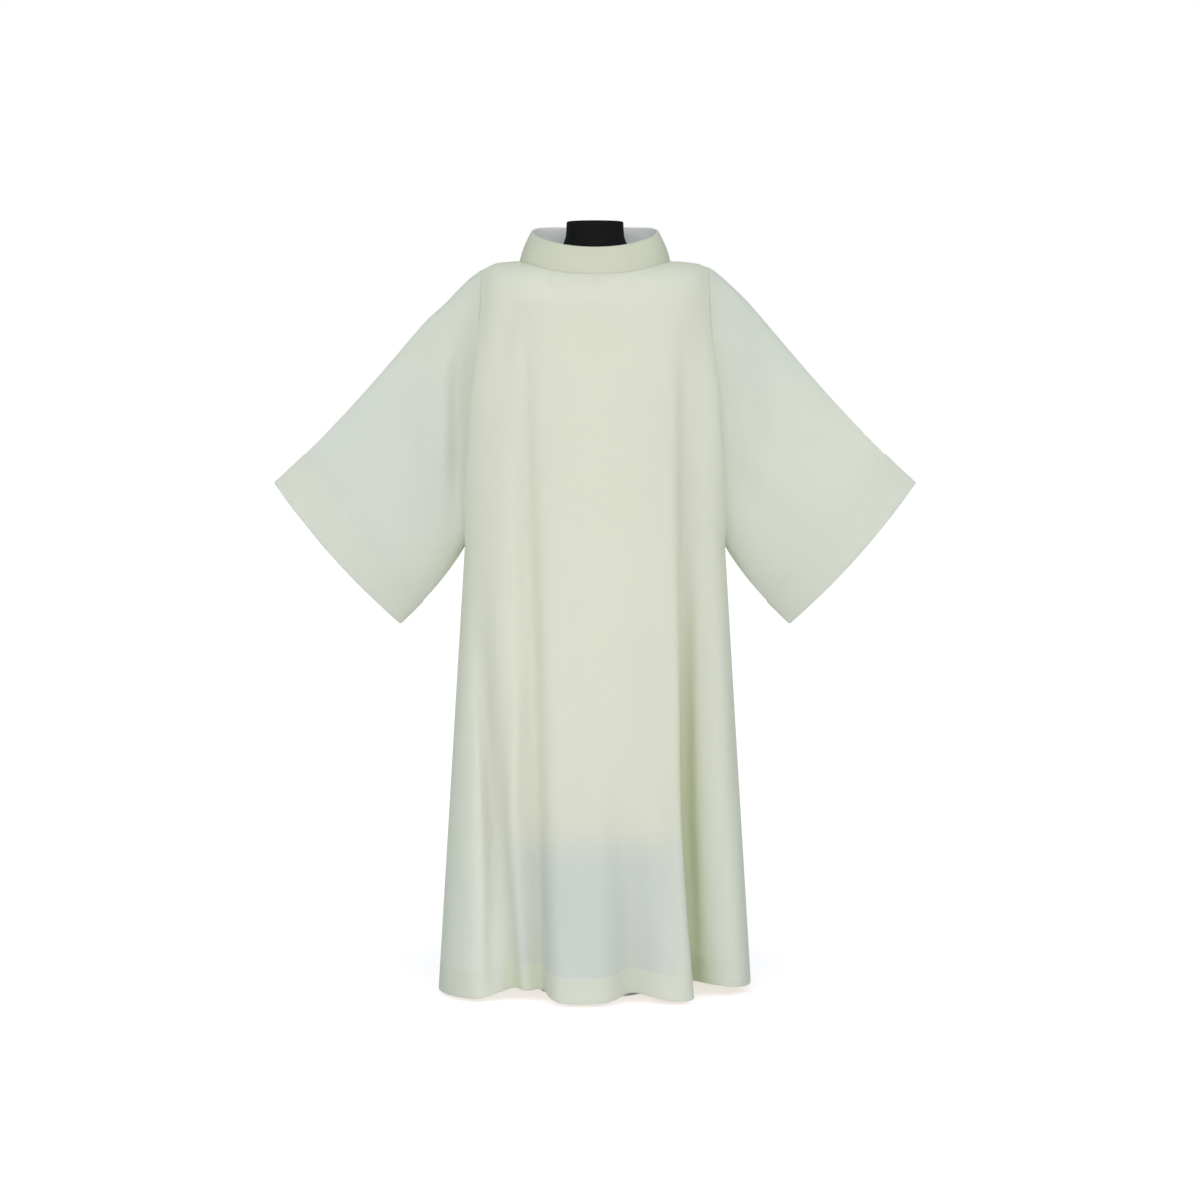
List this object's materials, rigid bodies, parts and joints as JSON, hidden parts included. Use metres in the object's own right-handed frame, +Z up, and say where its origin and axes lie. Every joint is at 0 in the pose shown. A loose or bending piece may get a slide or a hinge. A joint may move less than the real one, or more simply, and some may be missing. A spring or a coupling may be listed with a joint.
{
  "type": "alb on a dress form",
  "caption": "Floor-length cream alb with wide open sleeves and a turned-over collar, worn by a limbless dress form on a weighted stand.",
  "frame": {"origin": "centre of the underside of the stand's foot, on the floor", "axes": "+Z up along the pole, -Y out of the front of the garment, +X towards the wearer's left sleeve"},
  "size_m": [1.28, 0.4445, 1.539],
  "materials": {
    "alb_cloth": "matte plain weave",
    "form_cover": "matte jersey",
    "form_neck": "matte black",
    "stand_metal": "satin light grey"
  },
  "bodies": {
    "root": {"front": "alb_cloth", "back": "alb_cloth", "sleeve_left": "alb_cloth", "sleeve_right": "alb_cloth", "collar": "alb_cloth", "form_body": "form_cover", "form_neck": "form_neck", "stand_pole": "stand_metal", "stand_foot": "stand_metal"}
  },
  "joints": []
}
